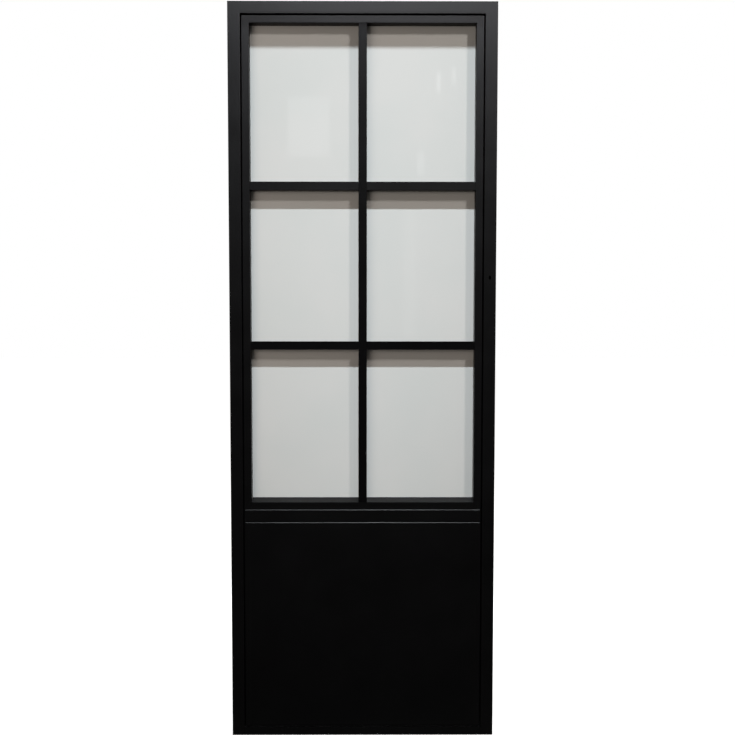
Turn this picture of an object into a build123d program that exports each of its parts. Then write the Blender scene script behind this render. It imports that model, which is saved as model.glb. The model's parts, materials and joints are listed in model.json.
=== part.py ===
"""A slim steel door set: a welded outer frame and a hinged leaf with six panes over a flush panel.

Millimetres. X runs from the hinge side to the latch side, Z is up, and Y runs from the
front, where the frame's stop shows and no hinge does, to the rear, where the leaf opens.
The origin is the middle of the threshold's underside.
"""

import os

from build123d import *

os.makedirs("parts", exist_ok=True)

# Outer frame
frame_width = 860.0
frame_height = 2380.0
frame_depth = 60.0
frame_face = 40.0
frame_rear_face = 25.0
stop_depth = 25.0
threshold_face = 26.0
frame_wall = 2.0
profile_bend = 1.6

# Leaf, and its gaps to the frame
reveal_gap = 3.3
threshold_gap = 5.0
stop_gap = 4.0
leaf_face = 24.7
leaf_setback = 3.0
leaf_wall = 1.5
lip_depth = 23.0
rebate_cover = 12.0

# Glazing bars and panes
pane_rows = 3
pane_columns = 2
bar_face = 27.0
bar_web = 3.0
bar_edge = 0.8
glass_thickness = 6.8
glass_edge_gap = 3.0
tape_thickness = 2.0
gasket_thickness = 3.0
gasket_margin = 1.0
bead_wall = 1.2
bead_setback = 2.0
bead_end_gap = 0.3
block_length = 60.0
block_inset = 40.0

# Lower part of the leaf: sloped sill, flat strip, flush panel
sill_top = 776.0
sill_rise = 12.0
strip_top = 752.0
strip_height = 39.5
groove = 2.5
plate_margin = 4.0
plate_edge = 1.0
rail_overlap = 12.0
rear_sheet = 2.0
bottom_rail_height = 40.0
tab_width = 6.0

# Hinges, welded on at the rear of the hinge side
hinge_count = 3
hinge_inset = 230.0
barrel_radius = 8.0
barrel_length = 50.0
barrel_edge = 1.0
barrel_stand_off = 0.3
pin_radius = 4.5
pin_running_clearance = 0.05
pin_seat_clearance = 0.02
pin_reach = 44.0
pin_end_clearance = 0.5
washer_thickness = 2.0
washer_rim = 0.5
washer_clearance = 0.2
wing_thickness = 4.0
wing_width = 18.0

# Ball catch in the latch stile, and its strike plate on the jamb
catch_height = 1050.0
catch_radius = 6.0
catch_length = 25.0
catch_back = 1.0
catch_mouth_radius = 4.2
catch_flange_radius = 8.0
catch_flange_thickness = 0.6
ball_radius = 4.5
ball_reach = 2.7
ball_clearance = 0.1
spring_wire_radius = 0.45
spring_radius = 3.2
spring_turns = 5
spring_wire_sides = 6
spring_end_clearance = 0.1
strike_thickness = 1.5
strike_height = 60.0
strike_width = 22.0
strike_corner = 3.0
strike_hole_radius = 4.0
screw_spacing = 42.0
screw_radius = 1.7
screw_head_radius = 3.2
screw_length = 9.0
screw_clearance = 0.05

# Wall fixings, the slot in the latch jamb's face, and the frame's seals
anchor_count = 4
anchor_inset = 200.0
anchor_hole_radius = 4.0
slot_height = 1507.0
slot_length = 13.0
slot_width = 6.4
seal_width = 9.0
seal_clearance = 0.3
seal_rounding = 2.2
seal_bore = 1.1

# Depths, from the front of the frame to its rear
front = -frame_depth / 2
rear = frame_depth / 2
stop_back = front + stop_depth
leaf_front = front + leaf_setback
lip_back = leaf_front + lip_depth
flange_front = stop_back + stop_gap
glass_front = lip_back + tape_thickness
glass_back = glass_front + glass_thickness
bead_front = glass_back + gasket_thickness
bead_back = rear - bead_setback
panel_back = rear - rear_sheet

# Distances inward from the frame's outer edge
inward_to_leaf = frame_face + reveal_gap
inward_to_flange = frame_rear_face + reveal_gap
inward_to_lip = inward_to_leaf + leaf_face
inward_to_rebate = inward_to_lip - rebate_cover

# Half widths and heights
jamb_side = frame_width / 2 - frame_rear_face
flange_side = frame_width / 2 - inward_to_flange
leaf_side = frame_width / 2 - inward_to_leaf
lip_side = frame_width / 2 - inward_to_lip
rebate_side = frame_width / 2 - inward_to_rebate
plate_side = leaf_side - plate_margin
leaf_bottom = threshold_face + threshold_gap
lip_top = frame_height - inward_to_lip
rebate_top = frame_height - inward_to_rebate
strip_bottom = strip_top - strip_height
sheet_top = strip_bottom - groove
sill_bottom = sheet_top - rail_overlap
bottom_rail_top = leaf_bottom + bottom_rail_height
column_pitch = 2 * lip_side / pane_columns
row_pitch = (lip_top - sill_top) / pane_rows

front_face = Plane.XZ.offset(-front)
left_corner = (-frame_width / 2, 0, frame_height)
right_corner = (frame_width / 2, 0, frame_height)


def finish(piece, name):
    """Labels a finished piece and writes it to a file of its own."""
    piece.part.label = name
    export_step(piece.part, f"parts/{name}.step")


def slab(x, y, z):
    """A rectangle seen from the front, x and z, extruded over the depths y."""
    with BuildPart() as solid:
        with BuildSketch(Plane.XZ.offset(-y[0])):
            with Locations(((x[0] + x[1]) / 2, (z[0] + z[1]) / 2)):
                Rectangle(x[1] - x[0], z[1] - z[0])
        extrude(amount=y[0] - y[1])
    return solid.part


def ring(outer, inner, y):
    """A flat rectangular ring seen from the front, between two (x, z) spans, over the depths y."""
    with BuildPart() as solid:
        add(slab(outer[0], y, outer[1]))
        add(slab(inner[0], y, inner[1]), mode=Mode.SUBTRACT)
    return solid.part


# Sections have the distance inward from the frame's outer edge along x, and the depth along y.

frame_outline = [
    (0, front),
    (frame_rear_face, front),
    (frame_rear_face, rear),
    (0, rear),
]

stop_outline = [
    (frame_rear_face, front),
    (frame_face, front),
    (frame_face, stop_back),
    (frame_rear_face, stop_back),
]

leaf_outline = [
    (inward_to_leaf, leaf_front),
    (inward_to_lip, leaf_front),
    (inward_to_lip, lip_back),
    (inward_to_rebate, lip_back),
    (inward_to_rebate, rear),
    (inward_to_flange, rear),
    (inward_to_flange, flange_front),
    (inward_to_leaf, flange_front),
]

# The corners that a neighbouring piece sits in, or is ground flush with, stay square
seat_corners = [
    (frame_rear_face, front),
    (frame_rear_face, stop_back),
    (inward_to_rebate, lip_back),
    (inward_to_leaf, flange_front),
]


def rolled_section(outline, wall):
    """A hollow section: the outline with bent corners, less the same outline set in by the wall."""
    with BuildSketch() as section:
        with BuildLine():
            Polyline(*outline, close=True)
        make_face()
        seats = [Vertex(x, y) for x, y in seat_corners]
        bends = [v for v in section.vertices() if all(v.distance_to(seat) > wall for seat in seats)]
        fillet(bends, profile_bend)
        with BuildSketch(mode=Mode.PRIVATE) as hollow:
            with BuildLine():
                Polyline(*outline, close=True)
            make_face()
            offset(amount=-wall, kind=Kind.INTERSECTION)
        add(hollow.sketch, mode=Mode.SUBTRACT)
    return section.sketch


def upright(outline, wall, bottom):
    """The member on the hinge side, from the given height up to its mitre with the head."""
    foot = Plane(origin=(-frame_width / 2, 0, bottom), x_dir=(1, 0, 0), z_dir=(0, 0, 1))
    with BuildPart() as member:
        with BuildSketch(foot):
            add(rolled_section(outline, wall))
        extrude(amount=frame_height - bottom)
        split(bisect_by=Plane(origin=left_corner, z_dir=(-1, 0, -1)), keep=Keep.TOP)
    return member.part


def head_member(outline, wall):
    """The member across the top, mitred at both ends."""
    with BuildPart() as member:
        with BuildSketch(Plane(origin=left_corner, x_dir=(0, 0, -1), z_dir=(1, 0, 0))):
            add(rolled_section(outline, wall))
        extrude(amount=frame_width)
        split(bisect_by=Plane(origin=left_corner, z_dir=(1, 0, 1)), keep=Keep.TOP)
        split(bisect_by=Plane(origin=right_corner, z_dir=(-1, 0, 1)), keep=Keep.TOP)
    return member.part


# Outer frame: two jambs and a head, each with its stop welded on and ground flush, and a threshold

anchor_pitch = (frame_height - 2 * anchor_inset) / (anchor_count - 1)
anchor_depth = (stop_back + rear) / 2


def jamb_with_anchor_holes():
    """The hinge-side jamb, drilled through both walls behind the stop for its wall fixings."""
    with BuildPart() as jamb:
        add(upright(frame_outline, frame_wall, 0))
        with BuildSketch(Plane.YZ.offset(-frame_width / 2)):
            for step in range(anchor_count):
                with Locations((anchor_depth, anchor_inset + step * anchor_pitch)):
                    Circle(anchor_hole_radius)
        extrude(amount=frame_rear_face, mode=Mode.SUBTRACT)
    return jamb.part


catch_depth = (flange_front + rear) / 2
screw_heights = [catch_height - screw_spacing / 2, catch_height + screw_spacing / 2]

with BuildPart() as jamb_hinge_side:
    add(jamb_with_anchor_holes())
finish(jamb_hinge_side, "jamb_hinge_side")

with BuildPart() as jamb_latch_side:
    mirror(jamb_with_anchor_holes(), about=Plane.YZ)
    with BuildSketch(front_face):
        with Locations((frame_width / 2 - frame_face / 2, slot_height)):
            SlotOverall(slot_length, slot_width, rotation=90)
    extrude(amount=-frame_wall, mode=Mode.SUBTRACT)
    with BuildSketch(Plane.YZ.offset(jamb_side)):
        for height in screw_heights:
            with Locations((catch_depth, height)):
                Circle(screw_radius + screw_clearance)
    extrude(amount=frame_wall, mode=Mode.SUBTRACT)
finish(jamb_latch_side, "jamb_latch_side")

with BuildPart() as frame_head:
    add(head_member(frame_outline, frame_wall))
finish(frame_head, "frame_head")

with BuildPart() as stop_hinge_side:
    add(upright(stop_outline, frame_wall, 0))
finish(stop_hinge_side, "stop_hinge_side")

with BuildPart() as stop_latch_side:
    mirror(upright(stop_outline, frame_wall, 0), about=Plane.YZ)
finish(stop_latch_side, "stop_latch_side")

with BuildPart() as stop_head:
    add(head_member(stop_outline, frame_wall))
finish(stop_head, "stop_head")


def coped(side_front, side_rear, step, y, z, wall):
    """A tube across the door: its front part, up to the depth step, is shorter than the rest."""
    with BuildPart() as tube:
        add(slab((-side_rear, side_rear), y, z))
        inside = (y[0] + wall, y[1] - wall)
        add(slab((-side_rear, side_rear), inside, (z[0] + wall, z[1] - wall)), mode=Mode.SUBTRACT)
        for ends in ((-side_rear, -side_front), (side_front, side_rear)):
            add(slab(ends, (y[0], step), z), mode=Mode.SUBTRACT)
    return tube.part


with BuildPart() as threshold:
    stop_side = frame_width / 2 - frame_face
    add(coped(stop_side, jamb_side, stop_back, (front, rear), (0, threshold_face), frame_wall))
finish(threshold, "threshold")

# Seals on the rear face of the stop, which the leaf closes against

seal_middle = (inward_to_flange + frame_face) / 2
seal_outer = seal_middle - seal_width / 2
seal_inner = seal_middle + seal_width / 2
seal_height = stop_gap - seal_clearance


def seal_strip(plane, length):
    """A strip with a rounded, hollow back. The plane's x runs across it and its y to the rear."""
    with BuildPart() as strip:
        with BuildSketch(plane) as section:
            with Locations((0, seal_height / 2)):
                Rectangle(seal_width, seal_height)
            fillet(section.vertices().group_by(Axis.Y)[-1], seal_rounding)
            with Locations((0, seal_height / 2)):
                Circle(seal_bore, mode=Mode.SUBTRACT)
        extrude(amount=length)
    return strip.part


seal_start = (-(frame_width / 2 - seal_middle), stop_back, threshold_face)
seal_plane = Plane(origin=seal_start, x_dir=(1, 0, 0), z_dir=(0, 0, 1))
side_seal_length = frame_height - seal_inner - threshold_face

with BuildPart() as seal_hinge_side:
    add(seal_strip(seal_plane, side_seal_length))
finish(seal_hinge_side, "seal_hinge_side")

with BuildPart() as seal_latch_side:
    mirror(seal_strip(seal_plane, side_seal_length), about=Plane.YZ)
finish(seal_latch_side, "seal_latch_side")

head_seal_side = frame_width / 2 - seal_outer
head_seal_start = (-head_seal_side, stop_back, frame_height - seal_middle)

with BuildPart() as seal_head:
    add(seal_strip(Plane(origin=head_seal_start, x_dir=(0, 0, -1), z_dir=(1, 0, 0)), 2 * head_seal_side))
finish(seal_head, "seal_head")

# Leaf frame: stiles, top rail, sloped sill rail and bottom rail

catch_axis = Axis((0, catch_depth, catch_height), (1, 0, 0))

with BuildPart() as stile_hinge_side:
    add(upright(leaf_outline, leaf_wall, leaf_bottom))
finish(stile_hinge_side, "stile_hinge_side")

with BuildPart() as stile_latch_side:
    mirror(upright(leaf_outline, leaf_wall, leaf_bottom), about=Plane.YZ)
    with BuildSketch(Plane.YZ.offset(flange_side)):
        with Locations((catch_depth, catch_height)):
            Circle(catch_radius)
    extrude(amount=-leaf_wall, mode=Mode.SUBTRACT)
finish(stile_latch_side, "stile_latch_side")

with BuildPart() as top_rail:
    add(head_member(leaf_outline, leaf_wall))
finish(top_rail, "top_rail")

sill_outline = [
    (leaf_front, sill_bottom),
    (leaf_front, sill_top),
    (lip_back, sill_top + sill_rise),
    (lip_back, sill_top),
    (panel_back, sill_top),
    (panel_back, sill_bottom),
]

with BuildPart() as sill_rail:
    with BuildSketch(Plane.YZ):
        with BuildLine():
            Polyline(*sill_outline, close=True)
        make_face()
    extrude(amount=rebate_side, both=True)
    inside = (leaf_front + leaf_wall, panel_back - leaf_wall)
    add(
        slab((-rebate_side, rebate_side), inside, (sill_bottom + leaf_wall, sill_top - leaf_wall)),
        mode=Mode.SUBTRACT,
    )
    for ends in ((-rebate_side, -lip_side), (lip_side, rebate_side)):
        add(slab(ends, (leaf_front, lip_back), (sill_bottom, sill_top + sill_rise)), mode=Mode.SUBTRACT)
finish(sill_rail, "sill_rail")

with BuildPart() as bottom_rail:
    depths = (leaf_front, panel_back)
    add(coped(lip_side, rebate_side, lip_back, depths, (leaf_bottom, bottom_rail_top), leaf_wall))
finish(bottom_rail, "bottom_rail")

# Front strip and panel, laid over the leaf frame flush with the outer frame

with BuildPart() as mid_strip:
    add(slab((-plate_side, plate_side), (front, leaf_front), (strip_bottom, strip_top)))
    chamfer(mid_strip.edges().filter_by(Axis.X).group_by(Axis.Y)[0].sort_by(Axis.Z)[-1], plate_edge)
finish(mid_strip, "mid_strip")

with BuildPart() as panel_front_sheet:
    add(slab((-plate_side, plate_side), (front, leaf_front), (leaf_bottom, sheet_top)))
    chamfer(panel_front_sheet.edges().filter_by(Axis.X).group_by(Axis.Y)[0].sort_by(Axis.Z)[-1], plate_edge)
    for third in (-leaf_side / 3, leaf_side / 3):
        tab = (third - tab_width / 2, third + tab_width / 2)
        add(slab(tab, (front + plate_edge, leaf_front), (sheet_top, strip_bottom)))
finish(panel_front_sheet, "panel_front_sheet")

with BuildPart() as panel_core:
    add(slab((-rebate_side, rebate_side), (leaf_front, panel_back), (bottom_rail_top, sill_bottom)))
    for ends in ((-rebate_side, -lip_side), (lip_side, rebate_side)):
        add(slab(ends, (leaf_front, lip_back), (bottom_rail_top, sill_bottom)), mode=Mode.SUBTRACT)
finish(panel_core, "panel_core")

with BuildPart() as panel_rear_sheet:
    add(slab((-rebate_side, rebate_side), (panel_back, rear), (leaf_bottom, sill_top)))
finish(panel_rear_sheet, "panel_rear_sheet")

# Glazing bars: a hollow front flange with a web behind it


def bar_section():
    """The bar's section, with its face along x and the depth along y."""
    with BuildSketch() as section:
        with Locations((0, (leaf_front + lip_back) / 2)):
            Rectangle(bar_face, lip_depth)
            fillet(section.vertices().group_by(Axis.Y)[0], bar_edge)
            Rectangle(bar_face - 2 * leaf_wall, lip_depth - 2 * leaf_wall, mode=Mode.SUBTRACT)
        with Locations((0, (lip_back + bead_back) / 2)):
            Rectangle(bar_web, bead_back - lip_back)
    return section.sketch


def bar_middle_x(column):
    """The middle of the upright bar after the given column of panes."""
    return -lip_side + column * column_pitch


def bar_middle_z(row):
    """The middle of the cross bar below the given row of panes."""
    return lip_top - row * row_pitch


for column in range(1, pane_columns):
    middle = bar_middle_x(column)
    width = (middle - bar_face / 2, middle + bar_face / 2)
    with BuildPart() as bar:
        with BuildSketch(Plane.XY.offset(sill_top)):
            with Locations((middle, 0)):
                add(bar_section())
        extrude(amount=rebate_top - sill_top)
        add(slab(width, (leaf_front, lip_back), (lip_top, rebate_top)), mode=Mode.SUBTRACT)
        with BuildSketch(Plane.YZ.offset(width[0])):
            with BuildLine():
                Polyline(sill_outline[1], sill_outline[2], sill_outline[3], close=True)
            make_face()
        extrude(amount=bar_face, mode=Mode.SUBTRACT)
    finish(bar, f"bar_upright_{column}")

for row in range(1, pane_rows):
    middle = bar_middle_z(row)
    height = (middle - bar_face / 2, middle + bar_face / 2)
    for column in range(1, pane_columns + 1):
        web_start = -rebate_side if column == 1 else bar_middle_x(column - 1) + bar_web / 2
        web_end = rebate_side if column == pane_columns else bar_middle_x(column) - bar_web / 2
        face_start = -lip_side if column == 1 else bar_middle_x(column - 1) + bar_face / 2
        face_end = lip_side if column == pane_columns else bar_middle_x(column) - bar_face / 2
        end_plane = Plane(origin=(web_start, 0, middle), x_dir=(0, 0, -1), z_dir=(1, 0, 0))
        with BuildPart() as bar:
            with BuildSketch(end_plane):
                add(bar_section())
            extrude(amount=web_end - web_start)
            for ends in ((web_start, face_start), (face_end, web_end)):
                add(slab(ends, (leaf_front, lip_back), height), mode=Mode.SUBTRACT)
        finish(bar, f"bar_cross_{row}_{column}")

# Panes, each with its seals and beads. Row 1 is the top one, column 1 is on the hinge side.


def grow(span, low, high):
    """A span moved out by low at its low end and by high at its high end."""
    return (span[0] - low, span[1] + high)


def opening_span(low_edge, high_edge, first, last):
    """The span of one opening along a line of bars, and of the rebate around it.

    The outer edges are (opening, rebate), and the bars beside the opening are given by their middles,
    or by None where the leaf's own member stands there.
    """
    low = low_edge if first is None else (first + bar_face / 2, first + bar_web / 2)
    high = high_edge if last is None else (last - bar_face / 2, last - bar_web / 2)
    return (low[0], high[0]), (low[1], high[1])


def pane_places():
    """For each pane: its row and column, and the spans of its opening and of its rebate."""
    for row in range(1, pane_rows + 1):
        below = None if row == pane_rows else bar_middle_z(row)
        above = None if row == 1 else bar_middle_z(row - 1)
        sill = (sill_top + sill_rise, sill_top)
        opening_z, rebate_z = opening_span(sill, (lip_top, rebate_top), below, above)
        for column in range(1, pane_columns + 1):
            before = None if column == 1 else bar_middle_x(column - 1)
            after = None if column == pane_columns else bar_middle_x(column)
            left_stile, right_stile = (-lip_side, -rebate_side), (lip_side, rebate_side)
            opening_x, rebate_x = opening_span(left_stile, right_stile, before, after)
            yield row, column, (opening_x, opening_z), (rebate_x, rebate_z)


def bead(x, z, open_side):
    """A channel that clips on behind the glass, open on its "left", "right", "lower" or "upper" side."""
    hollow_x, hollow_z = {
        "left": (grow(x, 0, -bead_wall), z),
        "right": (grow(x, -bead_wall, 0), z),
        "lower": (x, grow(z, 0, -bead_wall)),
        "upper": (x, grow(z, -bead_wall, 0)),
    }[open_side]
    with BuildPart() as channel:
        add(slab(x, (bead_front, bead_back), z))
        depths = (bead_front + bead_wall, bead_back - bead_wall)
        add(slab(hollow_x, depths, hollow_z), mode=Mode.SUBTRACT)
    return channel.part


for row, column, opening, rebate in pane_places():
    glass = [grow(span, -glass_edge_gap, -glass_edge_gap) for span in rebate]
    with BuildPart() as pane:
        add(slab(glass[0], (glass_front, glass_back), glass[1]))
    finish(pane, f"pane_{row}_{column}")

    seal_inside = [grow(span, gasket_margin, gasket_margin) for span in opening]
    with BuildPart() as pane_seals:
        add(ring(glass, seal_inside, (lip_back, glass_front)))
        add(ring(glass, seal_inside, (glass_back, bead_front)))
    finish(pane_seals, f"pane_seals_{row}_{column}")

    bead_x = grow(opening[0], -bead_end_gap, -bead_end_gap)
    with BuildPart() as beads:
        add(bead((rebate[0][0], opening[0][0]), rebate[1], "left"))
        add(bead((opening[0][1], rebate[0][1]), rebate[1], "right"))
        add(bead(bead_x, (rebate[1][0], opening[1][0]), "lower"))
        add(bead(bead_x, (opening[1][1], rebate[1][1]), "upper"))
    finish(beads, f"beads_{row}_{column}")

with BuildPart() as setting_blocks:
    for row, column, opening, rebate in pane_places():
        low = rebate[1][0]
        for start in (rebate[0][0] + block_inset, rebate[0][1] - block_inset - block_length):
            add(slab((start, start + block_length), (glass_front, glass_back), (low, low + glass_edge_gap)))
finish(setting_blocks, "setting_blocks")

# Lift-off hinges: the lower barrel and its pin are on the frame, the upper barrel is on the leaf

hinge_x = -(jamb_side + flange_side) / 2
hinge_y = rear + barrel_stand_off + barrel_radius
hinge_pitch = (frame_height - 2 * hinge_inset) / (hinge_count - 1)


def barrel(low, wing_x):
    """A barrel standing at the given height, with the flat wing that is welded to the member."""
    with BuildPart() as knuckle:
        with BuildSketch(Plane.XY.offset(low)):
            with Locations((hinge_x, hinge_y)):
                Circle(barrel_radius)
        extrude(amount=barrel_length)
        chamfer(knuckle.edges().filter_by(GeomType.CIRCLE), barrel_edge)
        add(slab(wing_x, (rear, rear + wing_thickness), (low, low + barrel_length)))
    return knuckle.part


def pin_hole(radius, low, high):
    """A round bore on the hinge's axis."""
    with BuildPart() as bore:
        with BuildSketch(Plane.XY.offset(low)):
            with Locations((hinge_x, hinge_y)):
                Circle(radius)
        extrude(amount=high - low)
    return bore.part


for number in range(1, hinge_count + 1):
    middle = hinge_inset + (number - 1) * hinge_pitch
    frame_low = middle - barrel_length
    leaf_low = middle + washer_thickness + washer_clearance
    pin_top = middle + pin_reach

    with BuildPart() as frame_barrel:
        add(barrel(frame_low, (hinge_x - wing_width, hinge_x)))
        add(pin_hole(pin_radius + pin_seat_clearance, frame_low, middle), mode=Mode.SUBTRACT)
    finish(frame_barrel, f"hinge_{number}_frame_barrel")

    with BuildPart() as hinge_pin:
        add(pin_hole(pin_radius, frame_low, pin_top))
        chamfer(hinge_pin.edges().filter_by(GeomType.CIRCLE).sort_by(Axis.Z)[-1], barrel_edge)
    finish(hinge_pin, f"hinge_{number}_pin")

    with BuildPart() as hinge_washer:
        add(pin_hole(barrel_radius - washer_rim, middle, middle + washer_thickness))
        bore = pin_radius + pin_running_clearance
        add(pin_hole(bore, middle, middle + washer_thickness), mode=Mode.SUBTRACT)
    finish(hinge_washer, f"hinge_{number}_washer")

    with BuildPart() as leaf_barrel:
        add(barrel(leaf_low, (hinge_x, hinge_x + wing_width)))
        bore = pin_radius + pin_running_clearance
        add(pin_hole(bore, leaf_low, pin_top + pin_end_clearance), mode=Mode.SUBTRACT)
    finish(leaf_barrel, f"hinge_{number}_leaf_barrel")

# Ball catch: a flanged cup pressed into the latch stile, with a ball held out by a spring

catch_plane = Plane(origin=(0, catch_depth, catch_height), x_dir=(1, 0, 0), z_dir=(0, 0, 1))
cup_end = flange_side - catch_length
cup_bore = ball_radius + ball_clearance
ball_middle = flange_side + ball_reach - ball_radius


def turned(outline):
    """A solid turned about the catch's axis. The outline has x along the door and y as radius."""
    with BuildPart() as solid:
        with BuildSketch(catch_plane):
            with BuildLine():
                Polyline(*outline, close=True)
            make_face()
        revolve(axis=catch_axis)
    return solid.part


with BuildPart() as catch_cup:
    add(
        turned(
            [
                (cup_end, 0),
                (cup_end, catch_radius),
                (flange_side, catch_radius),
                (flange_side, catch_flange_radius),
                (flange_side + catch_flange_thickness, catch_flange_radius),
                (flange_side + catch_flange_thickness, catch_mouth_radius),
                (flange_side, catch_mouth_radius),
                (flange_side, cup_bore),
                (cup_end + catch_back, cup_bore),
                (cup_end + catch_back, 0),
            ]
        )
    )
finish(catch_cup, "catch_cup")

with BuildPart() as catch_ball:
    with Locations((ball_middle, catch_depth, catch_height)):
        Sphere(ball_radius)
finish(catch_ball, "catch_ball")

spring_start = cup_end + catch_back + spring_wire_radius + spring_end_clearance
ball_contact = (ball_radius**2 - spring_radius**2) ** 0.5
spring_end = ball_middle - ball_contact - 2 * spring_wire_radius - spring_end_clearance
spring_length = spring_end - spring_start
spring_foot = (spring_start, catch_depth, catch_height)
spring_pitch = spring_length / spring_turns

with BuildPart() as catch_spring:
    with BuildLine() as coil:
        Helix(spring_pitch, spring_length, spring_radius, center=spring_foot, direction=(1, 0, 0))
    with BuildSketch(Plane(origin=coil.line @ 0, z_dir=coil.line % 0)):
        RegularPolygon(spring_wire_radius, spring_wire_sides)
    sweep()
finish(catch_spring, "catch_spring")

# Strike plate and its screws, on the jamb's face opposite the catch

plate_face = jamb_side - strike_thickness

with BuildPart() as strike_plate:
    with BuildSketch(Plane.YZ.offset(plate_face)):
        with Locations((catch_depth, catch_height)):
            RectangleRounded(strike_width, strike_height, strike_corner)
            Circle(strike_hole_radius, mode=Mode.SUBTRACT)
    extrude(amount=strike_thickness)
    for height in screw_heights:
        with Locations(Plane(origin=(plate_face, catch_depth, height), z_dir=(-1, 0, 0))):
            CounterSinkHole(screw_radius + screw_clearance, screw_head_radius + screw_clearance)
finish(strike_plate, "strike_plate")

head_slope = screw_head_radius - screw_radius

with BuildPart() as strike_screws:
    for height in screw_heights:
        with BuildSketch(Plane(origin=(0, catch_depth, height), x_dir=(1, 0, 0), z_dir=(0, 0, 1))):
            with BuildLine():
                Polyline(
                    (plate_face, 0),
                    (plate_face, screw_head_radius),
                    (plate_face + head_slope, screw_radius),
                    (plate_face + screw_length - screw_radius, screw_radius),
                    (plate_face + screw_length, 0),
                    close=True,
                )
            make_face()
        revolve(axis=Axis((0, catch_depth, height), (1, 0, 0)))
finish(strike_screws, "strike_screws")
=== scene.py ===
# %% [markdown]
# # A slim steel door in its frame
#
# This lesson dresses a steel door: an outer frame for the wall, and a hinged leaf with six white
# panes above a flush panel. Its solids come finished from CAD, in metres, with X from the hinge
# side to the latch side, Y from the front to the rear, and Z up from the floor. What is left for
# Blender is the welds at the hinges, the catch's spring, the finishes, the light and the camera.

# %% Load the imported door
import json
import math

import bmesh
import bpy
from mathutils import Matrix, Vector


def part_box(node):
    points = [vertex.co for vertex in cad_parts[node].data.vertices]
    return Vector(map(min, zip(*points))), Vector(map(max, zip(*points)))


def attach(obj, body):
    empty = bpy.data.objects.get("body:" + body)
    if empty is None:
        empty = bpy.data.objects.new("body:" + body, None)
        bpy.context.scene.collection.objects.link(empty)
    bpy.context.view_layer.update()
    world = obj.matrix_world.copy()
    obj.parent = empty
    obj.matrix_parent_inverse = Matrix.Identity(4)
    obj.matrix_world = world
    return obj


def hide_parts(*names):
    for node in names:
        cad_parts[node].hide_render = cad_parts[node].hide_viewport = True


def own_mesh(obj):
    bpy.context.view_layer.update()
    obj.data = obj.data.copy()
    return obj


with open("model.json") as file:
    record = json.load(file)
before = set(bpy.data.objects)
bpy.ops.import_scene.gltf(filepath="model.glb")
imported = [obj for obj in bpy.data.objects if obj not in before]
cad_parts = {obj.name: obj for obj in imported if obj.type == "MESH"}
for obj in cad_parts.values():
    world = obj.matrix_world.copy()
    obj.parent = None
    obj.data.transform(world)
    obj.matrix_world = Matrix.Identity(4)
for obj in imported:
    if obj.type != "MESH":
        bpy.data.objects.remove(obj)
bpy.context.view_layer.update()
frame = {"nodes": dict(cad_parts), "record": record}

nodes = frame["nodes"]

# %% [markdown]
# ## Objects and what they show
#
# Blender keeps data, such as a mesh, a lamp or a lens, apart from the object that shows it in the
# scene. The helpers below make the object in one call. A new piece starts as a bmesh, which
# operators can change, and becomes a mesh only when it is done. Its object stays at the origin,
# unturned and unscaled, so that its place is in its mesh, as it is in the CAD pieces.

# %% Helpers for objects
def show(name, data):
    """An object in the scene for a mesh, a lamp or a camera."""
    shown = bpy.data.objects.new(name, data)
    bpy.context.scene.collection.objects.link(shown)
    return shown


def show_shape(name, shape, smooth=False):
    """An object at the origin made from a bmesh, with flat or smooth faces."""
    mesh = bpy.data.meshes.new(name)
    shape.to_mesh(mesh)
    shape.free()
    for face in mesh.polygons:
        face.use_smooth = smooth
    return show(name, mesh)


# %% [markdown]
# ## The camera
#
# The photograph was taken straight on, from about 2.4 metres, at chest height and tilted down a
# little, so that the door fills the picture's height and its sides draw in towards the floor. The
# camera's place and angles were worked out from the frame's corners and the bars. A focal length
# in pixels becomes a lens when it is scaled to the width of the sensor.

# %% Place the camera
picture_size = 735
focal_pixels = 732.33
eye = Vector((0.0078, -2.3985, 1.3209))
tilt_down, turn_right, lean_left = 0.04379, 0.00331, 0.00048

lens = bpy.data.cameras.new("camera")
lens.sensor_width = 36
lens.lens = lens.sensor_width * focal_pixels / picture_size
camera = show("camera", lens)
camera.matrix_world = (
    Matrix.Translation(eye)
    @ Matrix.Rotation(-turn_right, 4, "Z")
    @ Matrix.Rotation(math.pi / 2 - tilt_down, 4, "X")
    @ Matrix.Rotation(lean_left, 4, "Z")
)
bpy.context.scene.camera = camera
print(f"camera with a {lens.lens:.1f} mm lens, {-eye.y:.2f} m in front of the door")

# %% [markdown]
# ## The studio
#
# The photograph's background is pure white, as if the door had been cut out. A white set could be
# lit until it clips, but that light would also fall on the door. Instead the set is told to look
# white to the camera, and to what glossy surfaces mirror of the space behind the door. For all
# other rays the world is a dim, slightly warm room in front of the door, a little brighter
# overhead, and a pale set behind it.

# %% Show colours as they are
bpy.context.scene.view_settings.view_transform = "Standard"

# %% [markdown]
# The world, the floor and all finishes are node trees: small steps that pass values along. A tree
# can be drawn by hand in the editor. Here helpers add the nodes, so that a finish is a few lines,
# and the same few steps serve them all.

# %% Helpers for node trees
def new_node(tree, kind, **settings):
    """A node of the given kind, with its settings and the values of its inputs by name."""
    made = tree.nodes.new(kind)
    for name, value in settings.items():
        if name in made.inputs:
            made.inputs[name].default_value = value
        else:
            setattr(made, name, value)
    return made


def arithmetic(tree, operation, first, second):
    """The product or the maximum of two values, each a number or another node's output."""
    made = new_node(tree, "ShaderNodeMath", operation=operation)
    for socket, value in zip(made.inputs, (first, second)):
        if isinstance(value, (int, float)):
            socket.default_value = value
        else:
            tree.links.new(value, socket)
    return made.outputs[0]


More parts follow.
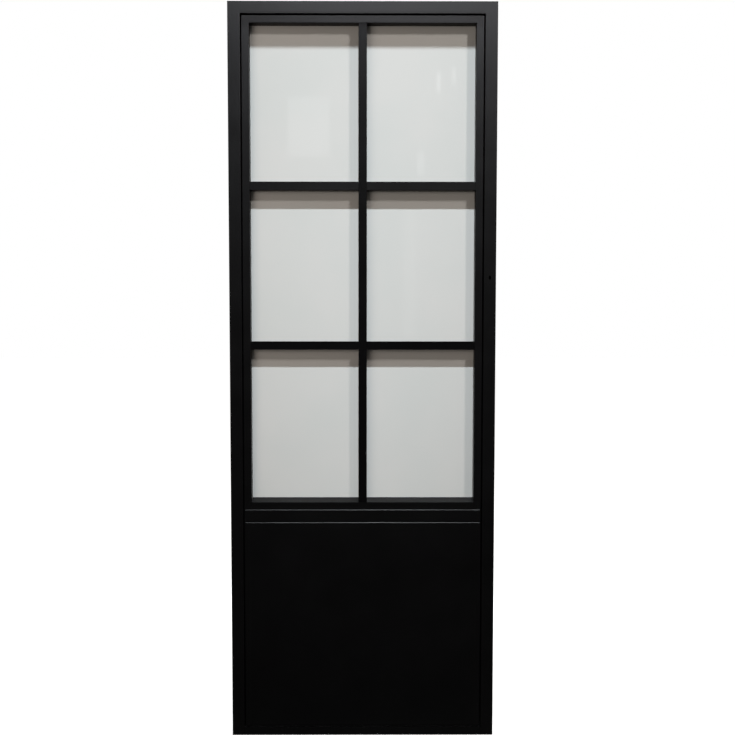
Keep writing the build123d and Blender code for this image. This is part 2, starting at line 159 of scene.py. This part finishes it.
def ramp(tree, value, value_range, result_range, curve="LINEAR"):
    """Turns a value that runs over one range into one that runs over another."""
    made = new_node(tree, "ShaderNodeMapRange", interpolation_type=curve)
    tree.links.new(value, made.inputs["Value"])
    ends = ("From Min", "From Max", "To Min", "To Max")
    for name, number in zip(ends, (*value_range, *result_range)):
        made.inputs[name].default_value = number
    return made.outputs["Result"]


def mixed_colour(tree, factor, first, second):
    """The first colour where the factor is 0, the second where it is 1, and a mix between."""
    made = new_node(tree, "ShaderNodeMix", data_type="RGBA")
    tree.links.new(factor, made.inputs["Factor"])
    colours = [socket for socket in made.inputs if socket.type == "RGBA"]
    colours[0].default_value, colours[1].default_value = (*first, 1), (*second, 1)
    return made.outputs[2]


def split_place(tree, kind):
    """X, Y and Z as outputs. The kind is Object on a piece, and Generated in the world."""
    place = new_node(tree, "ShaderNodeTexCoord")
    parts = new_node(tree, "ShaderNodeSeparateXYZ")
    tree.links.new(place.outputs[kind], parts.inputs[0])
    return parts.outputs


# %% Which rays see the white set
turning_white = (0.0, 0.25)


def whiteness(tree, y_value):
    """1 for the camera's rays, and for mirrored or transmitted rays with y behind the door."""
    rays = new_node(tree, "ShaderNodeLightPath").outputs
    mirrored = arithmetic(tree, "MAXIMUM", rays["Is Glossy Ray"], rays["Is Transmission Ray"])
    behind = ramp(tree, y_value, turning_white, (0.0, 1.0), "SMOOTHSTEP")
    seen_behind = arithmetic(tree, "MULTIPLY", mirrored, behind)
    return arithmetic(tree, "MAXIMUM", rays["Is Camera Ray"], seen_behind)


# %% The world: white to the camera, a dim room round the door
white = (1.0, 1.0, 1.0)
room_light, room_tone = 0.085, (1.0, 0.88, 0.78)
overhead_light, overhead_heights = 0.14, (0.25, 0.9)
set_light, set_depths = 0.7, (0.0, 0.5)

world = bpy.data.worlds.new("studio")
world.use_nodes = True
bpy.context.scene.world = world
tree = world.node_tree
towards = split_place(tree, "Generated")
above = ramp(tree, towards["Z"], overhead_heights, (room_light, overhead_light), "SMOOTHSTEP")
behind = ramp(tree, towards["Y"], set_depths, (0.0, set_light), "SMOOTHSTEP")
seen_white = whiteness(tree, towards["Y"])
soft_light = arithmetic(tree, "MAXIMUM", above, behind)
strength = arithmetic(tree, "MAXIMUM", soft_light, seen_white)
untinted = arithmetic(tree, "MAXIMUM", behind, seen_white)
background = tree.nodes["Background"]
tree.links.new(mixed_colour(tree, untinted, room_tone, white), background.inputs["Color"])
tree.links.new(strength, background.inputs["Strength"])
print("world: overhead", overhead_light, "behind", set_light, "room", room_light)

# %% [markdown]
# The floor is so wide that its edge is lost in the white. The camera sees it pale, with the door's
# shadow on it. The light that bounces from it is that of a darker floor, because the paint at the
# foot of the door is nearly black in the photograph.

# %% A helper for materials
def new_material(name, inputs):
    """A material whose shader has the given values at its inputs."""
    made = bpy.data.materials.new(name)
    made.use_nodes = True
    for socket, value in inputs.items():
        made.node_tree.nodes["Principled BSDF"].inputs[socket].default_value = value
    return made


# %% The floor
floor_colour = (0.45, 0.45, 0.45)
floor_bounce = (0.06, 0.06, 0.06)
floor_whitening = 0.86
floor_reach = 40

shape = bmesh.new()
bmesh.ops.create_grid(shape, x_segments=1, y_segments=1, size=floor_reach)
floor = show_shape("floor", shape)

pale_floor = new_material(
    "pale_floor", {"Roughness": 0.9, "Specular IOR Level": 0.1, "Emission Color": (*white, 1)}
)
tree = pale_floor.node_tree
shader = tree.nodes["Principled BSDF"]
seen = new_node(tree, "ShaderNodeLightPath").outputs["Is Camera Ray"]
tree.links.new(mixed_colour(tree, seen, floor_bounce, floor_colour), shader.inputs["Base Color"])
seen_white = whiteness(tree, split_place(tree, "Object")["Y"])
whitening = arithmetic(tree, "MULTIPLY", seen_white, floor_whitening)
tree.links.new(whitening, shader.inputs["Emission Strength"])
floor.data.materials.append(pale_floor)
print("floor", 2 * floor_reach, "m wide")

# %% [markdown]
# ## The lamps
#
# Each pane in the photograph has a dark strip along its top, whose lower half is a little lighter,
# and fainter strips along both sides. They are shadows of the bars, so three lamps stand in front
# of the door: a strong one high above it, a weaker one to the upper right, whose strip is sharp,
# and a wide one to the left, whose strip is soft.

# %% Aim a lamp
def hang(name, kind, place, aim, power, colour):
    """A lamp of a kind at a place, turned to a point, with its power in watts."""
    lamp = bpy.data.lights.new(name, kind)
    lamp.energy = power
    lamp.color = colour
    hung = show(name, lamp)
    hung.location = place
    hung.rotation_euler = (place - aim).to_track_quat("Z", "Y").to_euler()
    print(f"{name}: {power} W, {(place - aim).length:.1f} m from what it lights")
    return hung


def hang_softbox(name, place, aim, width, height, power, colour):
    """A rectangular lamp, with its width and height in metres."""
    box = hang(name, "AREA", Vector(place), Vector(aim), power, colour)
    box.data.shape = "RECTANGLE"
    box.data.size, box.data.size_y = width, height
    return box


# %% [markdown]
# The strong lamp is a spotlight thirty metres away, so that every pane gets the same shadow. Its
# beam is aimed at the top panes and fades towards the edge, because the lowest panes are the
# darkest. The one at the side is a small round softbox, close enough to soften its shadow a little.

# %% Hang the two lamps with sharp shadows
door_top = Vector((0.05, 0.0, 2.3))

key_reach = 30.0
key_towards = Vector((0.03, -1.0, 2.24)).normalized()
key_place = door_top + key_reach * key_towards
key = hang("key", "SPOT", key_place, door_top, power=63000, colour=(0.90, 0.96, 1.0))
key.data.shadow_soft_size = 0.40
key.data.spot_size = math.radians(4.6)
key.data.spot_blend = 1.0

side_reach = 5.84
side_towards = Vector((1.2, -1.0, 1.05)).normalized()
side_place = door_top + side_reach * side_towards
side = hang("side", "AREA", side_place, door_top, power=140, colour=(1.0, 0.90, 0.83))
side.data.shape = "DISK"
side.data.size = 0.7

# %% [markdown]
# The frame is dark grey at the top and turns black towards the floor: the satin paint mirrors a
# softbox in front of the door's top. That box lights nothing else, because the panes show no sign
# of its light, and the wide box to the left isn't mirrored, because the paint shows no sign of it.
# One more lights the rear, so that the hinges and the beads can be seen from behind.

# %% Hang the softboxes
fill_box = hang_softbox(
    "fill_box", place=(-2.1, -2.9, 1.7), aim=(0.0, 0.0, 1.7),
    width=2.6, height=2.2, power=31, colour=(1.0, 0.85, 0.74)
)
fill_box.visible_glossy = False

sheen_box = hang_softbox(
    "sheen_box", place=(0.28, -2.7, 4.1), aim=(0.0, 0.0, 1.9),
    width=2.6, height=0.7, power=71, colour=(0.93, 0.94, 1.0)
)
sheen_box.visible_diffuse = False

hang_softbox(
    "rear_box", place=(1.2, 3.6, 3.0), aim=(0.0, 0.0, 1.3),
    width=4.0, height=4.0, power=95, colour=(1.0, 0.99, 0.97)
)

# %% [markdown]
# The strip in the top panes is a little taller than in the others. Photographers keep light off a
# picture's edge with a flag, a black slat on a stand. One that hangs a hand's breadth in front of
# the door's head, above the view, draws that strip down by about 12 mm. It isn't part of the door.

# %% Hang a flag above the view
flag_gap, flag_low, flag_high = 0.100, 2.4645, 2.505
flag_width = 0.77
flag_black = (0.01, 0.01, 0.01)
upright = Matrix.Rotation(math.pi / 2, 3, "X")

shape = bmesh.new()
bmesh.ops.create_grid(shape, x_segments=1, y_segments=1, size=0.5)
bmesh.ops.scale(shape, verts=shape.verts, vec=(flag_width, flag_high - flag_low, 1))
bmesh.ops.rotate(shape, verts=shape.verts, cent=(0, 0, 0), matrix=upright)
bmesh.ops.translate(shape, verts=shape.verts, vec=(0, -flag_gap, (flag_low + flag_high) / 2))
flag = show_shape("flag", shape)
flag.visible_camera = flag.visible_glossy = False
flag.data.materials.append(new_material("black_cloth", {"Base Color": (*flag_black, 1)}))
print(f"flag {1000 * (flag_high - flag_low):.0f} mm tall")

# %% [markdown]
# The glass mirrors a few bright things behind the photographer, such as a window and the gaps
# between curtains. They are faint, so small dim lamps stand for them. Each one is hung where the
# photograph shows its mirror image: as far in front of the glass as the image is behind it. The
# table gives each one's name, x, z, width, height and power.

# %% Hang what the glass mirrors
mirrored_plane = -4.4
mirrored_things = (
    ("window", -0.51, 3.23, 0.383, 0.542, 0.49),
    ("window_edge", -0.36, 3.15, 0.036, 0.271, 0.04),
    ("curtain_gap", 0.52, 2.90, 0.065, 0.209, 0.04),
    ("curtain_left", 0.68, 3.63, 0.037, 0.180, 0.03),
    ("curtain_right", 0.82, 3.69, 0.037, 0.144, 0.02),
    ("doorway", 0.42, 1.88, 0.114, 1.195, 0.15),
)
for name, x, z, width, height, power in mirrored_things:
    glint = hang_softbox(name, (x, mirrored_plane, z), (x, 0.0, z), width, height, power, white)
    glint.visible_diffuse = False

# %% [markdown]
# ## Welds at the hinges
#
# Each hinge is a pair of barrels, and each barrel has a flat wing that is welded to the steel
# behind it. A weld can be filled and ground away, or left as it is under the paint, and round a
# hinge it is mostly left. It is a small round bead with a ripple for every drop of metal. Here a
# circle is drawn out along the wing's edge into a rod of many rings, and every other ring is made
# a little thicker. The rod's middle lies on the edge between wing and member, so that only a part
# of it stands out.

# %% One run of weld
weld_radius = 0.0021
weld_sides = 8
ripple_pitch = 0.0026
ripple_swell = 1.17
weld_end = 0.55


def weld_run(shape, start, end):
    """Adds a rippled bead of weld from one point to another."""
    run = end - start
    steps = 2 * round(run.length / ripple_pitch)
    pull = Vector((0, 0, run.length / steps))
    bead = bmesh.new()
    bmesh.ops.create_circle(bead, segments=weld_sides, radius=weld_radius)
    ring_parts = bead.verts[:] + bead.edges[:]
    bmesh.ops.spin(bead, geom=ring_parts, axis=(0, 0, 1), angle=0, steps=steps, dvec=pull)
    rims = [edge for edge in bead.edges if edge.is_boundary]
    bmesh.ops.holes_fill(bead, edges=rims, sides=0)
    for vert in bead.verts:
        ring = round(vert.co.z / pull.z)
        size = weld_end if ring in (0, steps) else ripple_swell if ring % 2 else 1.0
        vert.co.x *= size
        vert.co.y *= size
    turn = run.to_track_quat("Z", "Y").to_matrix().to_4x4()
    bmesh.ops.transform(bead, verts=bead.verts, matrix=Matrix.Translation(start) @ turn)
    bead_mesh = bpy.data.meshes.new("bead_of_weld")
    bead.to_mesh(bead_mesh)
    bead.free()
    shape.from_mesh(bead_mesh)
    bpy.data.meshes.remove(bead_mesh)


# %% Weld the wings of the hinges
wing_return = 0.011
wing_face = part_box("jamb_hinge_side")[1].y


def weld_wing(barrel, body, name, outward):
    """Welds a wing to its member: down its outer edge and a little way along both its ends."""
    low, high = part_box(barrel)
    edge = low.x if outward < 0 else high.x
    inner = edge - outward * wing_return
    top, bottom = ((inner, high.z), (edge, high.z)), ((edge, low.z), (inner, low.z))
    corners = [Vector((x, wing_face, z)) for x, z in (*top, *bottom)]
    shape = bmesh.new()
    for start, end in zip(corners, corners[1:]):
        weld_run(shape, start, end)
    bmesh.ops.recalc_face_normals(shape, faces=shape.faces)
    open_edges = sum(not edge.is_manifold for edge in shape.edges)
    weld = show_shape(name, shape, smooth=True)
    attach(weld, body)
    print(f"{name}: {len(weld.data.polygons)} faces, {open_edges} open edges")
    return weld


welds = []
for number in (1, 2, 3):
    welds.append(weld_wing(f"hinge_{number}_frame_barrel", "frame", f"weld_frame_{number}", -1))
    welds.append(weld_wing(f"hinge_{number}_leaf_barrel", "leaf", f"weld_leaf_{number}", 1))
print(len(welds), "welds")

# %% [markdown]
# ## The spring of the ball catch
#
# A coil of steel wire pushes the catch's ball out of the door's edge. The wire's round section is
# spun about the coil's axis while it moves along, which is how a spring is wound on a lathe. The
# CAD solid stays for the physics, and this one takes its place in the picture.

# %% Wind the spring
wire_radius = 0.00045
wire_sides = 10
coil_turns = 5
steps_a_turn = 24

low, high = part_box("catch_spring")
middle = (low + high) / 2
coil_radius = (high.z - low.z) / 2 - wire_radius
coil_length = high.x - low.x - 2 * wire_radius
wire_start = (low.x + wire_radius, middle.y, middle.z + coil_radius)
steps = coil_turns * steps_a_turn

shape = bmesh.new()
bmesh.ops.create_circle(shape, segments=wire_sides, radius=wire_radius)
bmesh.ops.rotate(shape, verts=shape.verts, cent=(0, 0, 0), matrix=upright)
bmesh.ops.translate(shape, verts=shape.verts, vec=wire_start)
bmesh.ops.spin(
    shape, geom=shape.verts[:] + shape.edges[:], cent=(low.x, middle.y, middle.z), axis=(1, 0, 0),
    angle=2 * math.pi * coil_turns, steps=steps, dvec=(coil_length / steps, 0, 0)
)
wire_ends = [edge for edge in shape.edges if edge.is_boundary]
bmesh.ops.holes_fill(shape, edges=wire_ends, sides=0)
bmesh.ops.recalc_face_normals(shape, faces=shape.faces)
spring = show_shape("spring_of_the_catch", shape, smooth=True)
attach(spring, "leaf")
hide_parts("catch_spring")
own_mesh(spring)
print(f"spring {1000 * coil_length:.1f} mm long, {len(spring.data.polygons)} faces")

# %% [markdown]
# ## The finishes
#
# Every finish is a node material on Object coordinates, so that its grain stays on the piece when
# the leaf swings. The helpers below make the things that most finishes are built from: a pattern,
# and a colour, a gloss and a relief that follow it.

# %% Helpers for finishes
finishes = {}


def new_finish(slot, inputs):
    """The finish of a slot of the record: its nodes, its shader and coordinates for patterns."""
    finishes[slot] = new_material(slot + "_finish", inputs)
    tree = finishes[slot].node_tree
    place = new_node(tree, "ShaderNodeTexCoord")
    return tree, tree.nodes["Principled BSDF"], place.outputs["Object"]


def speckle(tree, place, size, stretch=(1, 1, 1), detail=2.0):
    """A soft noise with lumps of about the given size in metres, drawn out by stretch."""
    scaled = new_node(tree, "ShaderNodeMapping")
    scaled.inputs["Scale"].default_value = [1 / (size * s) for s in stretch]
    tree.links.new(place, scaled.inputs["Vector"])
    noise = new_node(tree, "ShaderNodeTexNoise", Scale=1.0, Detail=detail, Roughness=0.5)
    tree.links.new(scaled.outputs["Vector"], noise.inputs["Vector"])
    return noise.outputs["Fac"]


def tint(tree, shader, pattern, dark, light):
    """Colours the surface between two tones by a pattern."""
    share = ramp(tree, pattern, (0.35, 0.65), (0.0, 1.0))
    tree.links.new(mixed_colour(tree, share, dark, light), shader.inputs["Base Color"])


def gloss(tree, shader, pattern, low, high):
    """Lets the roughness wander between two values with a pattern."""
    tree.links.new(ramp(tree, pattern, (0.3, 0.7), (low, high)), shader.inputs["Roughness"])


def relief(tree, shader, pattern, height, strength):
    """Gives the surface a relief of about the given height in metres."""
    bump = new_node(tree, "ShaderNodeBump", Strength=strength, Distance=height)
    tree.links.new(pattern, bump.inputs["Height"])
    tree.links.new(bump.outputs["Normal"], shader.inputs["Normal"])


# %% [markdown]
# ### Satin black powder coat
#
# The steel is sprayed with a powder that melts in an oven, which leaves an even satin skin with a
# very slight orange peel. It is close to jet black, so most of what is seen of it is gloss. A
# broad, faint change of roughness keeps the large panel from looking like a computer's black. The
# upright bar and the lower cross bar are darker than the pieces round them, and that is painted
# shade: they get a copy of the same coat that mirrors less.

# %% Powder coat
def powder_coat(slot, dark, light, grain, mirror=0.25):
    """Satin black paint on steel, with an orange peel of the given size."""
    tree, shader, place = new_finish(slot, {"Specular IOR Level": mirror})
    tint(tree, shader, speckle(tree, place, 0.35), dark, light)
    gloss(tree, shader, speckle(tree, place, 0.12, detail=4.0), low=0.35, high=0.42)
    orange_peel = speckle(tree, place, grain, detail=3.0)
    relief(tree, shader, orange_peel, height=0.00004, strength=0.35)


jet_black = (0.0010, 0.0010, 0.0012), (0.0016, 0.0016, 0.0019)
bead_black = (0.0012, 0.0012, 0.0014), (0.0019, 0.0019, 0.0022)
hinge_black = (0.0013, 0.0013, 0.0015), (0.0021, 0.0021, 0.0024)
powder_coat("frame_paint", *jet_black, grain=0.0016)
powder_coat("leaf_paint", *jet_black, grain=0.0017)
powder_coat("bead_paint", *bead_black, grain=0.0014)
powder_coat("hinge_paint", *hinge_black, grain=0.0012)
# A copy of the jet black coat that mirrors less, as painted shade on the darker bars.
powder_coat("shaded_bar_coat", *jet_black, grain=0.0017, mirror=0.12)
print(len(finishes), "coats of paint")

# %% [markdown]
# ### Opal glass
#
# The panes look cool, pale and even, with nothing to be seen through them. That is laminated
# safety glass with a white opal film between its two sheets: the surface is as glossy as window
# glass, and the body behind it is white. Long, very shallow waves from the rolling of the glass
# soften what the surface mirrors.

# %% Opal glass
opal = (0.655, 0.685, 0.68), (0.68, 0.70, 0.695)
tree, shader, place = new_finish("pane_glass", {"IOR": 1.5})
tint(tree, shader, speckle(tree, place, 0.25), *opal)
gloss(tree, shader, speckle(tree, place, 0.09, detail=5.0), low=0.015, high=0.035)
rolling_waves = speckle(tree, place, 0.11, stretch=(1, 1, 3), detail=1.0)
relief(tree, shader, rolling_waves, height=0.0003, strength=0.15)
print("opal glass from", opal[0], "to", opal[1])

# %% [markdown]
# ### Rubber, foam and plastic
#
# Glazing tape and door seals are matt black rubber with a fine skin. The core of the lower panel
# and the blocks under the glass can hardly be seen, but they get a finish of their own, because
# the parts may be looked at one by one.

# %% Rubber, foam and plastic
def matt(slot, dark, light, grain, height=0.00005):
    """A matt material with a fine grain, such as rubber or foam."""
    tree, shader, place = new_finish(slot, {"Roughness": 0.85})
    tint(tree, shader, speckle(tree, place, 8 * grain), dark, light)
    relief(tree, shader, speckle(tree, place, grain), height, strength=0.5)


matt("pane_seal", (0.010, 0.010, 0.010), (0.018, 0.018, 0.018), grain=0.0006)
matt("stop_seal", (0.011, 0.011, 0.011), (0.020, 0.020, 0.020), grain=0.0008)
matt("block", (0.03, 0.03, 0.032), (0.05, 0.05, 0.052), grain=0.001)
matt("core", (0.60, 0.53, 0.33), (0.74, 0.67, 0.45), grain=0.002, height=0.0004)
print(len(finishes), "finishes so far")

# %% [markdown]
# ### Bare metal
#
# The catch and its strike plate are zinc plated, the hinge pins are ground, and the washers
# between the hinge's barrels are brass. Plating is even but for a faint cloudiness, and turned or
# ground metal has fine lines: noise drawn out along one axis, or two, gives both.

# %% Bare metal
def bare_metal(slot, dark, light, roughness, lines):
    """Plated, ground or turned metal, whose fine lines run along the stretched axis."""
    tree, shader, place = new_finish(slot, {"Metallic": 1.0})
    tint(tree, shader, speckle(tree, place, 0.006), dark, light)
    brushing = speckle(tree, place, 0.0004, lines)
    gloss(tree, shader, brushing, low=roughness - 0.06, high=roughness + 0.08)
    relief(tree, shader, speckle(tree, place, 0.0003, lines), height=0.00002, strength=0.4)


zinc = (0.50, 0.51, 0.53), (0.60, 0.60, 0.60)
bare_metal("catch_steel", *zinc, roughness=0.30, lines=(12, 1, 1))
bare_metal("strike_steel", *zinc, roughness=0.34, lines=(1, 1, 14))
ground_steel = (0.46, 0.46, 0.47), (0.56, 0.56, 0.56)
bare_metal("pin_steel", *ground_steel, roughness=0.26, lines=(8, 8, 1))
brass = (0.60, 0.42, 0.16), (0.70, 0.52, 0.22)
bare_metal("washer_brass", *brass, roughness=0.30, lines=(6, 6, 1))
print(len(finishes), "finishes with the metals")

# %% Put the finishes on the pieces
# The darker bars get the copy of the coat that mirrors less: painted shade.
shaded_bar_pieces = ("bar_upright_1", "bar_cross_2_1", "bar_cross_2_2")
for subpart in frame["record"]["subparts"]:
    coat = "shaded_bar_coat" if subpart["node"] in shaded_bar_pieces else subpart["material_slot"]
    for slot in nodes[subpart["node"]].material_slots:
        slot.material = finishes[coat]
for weld in welds:
    weld.data.materials.append(finishes["hinge_paint"])
spring.data.materials.append(finishes["catch_steel"])
print(len(finishes), "finishes on", len(nodes) + len(welds) + 1, "pieces")
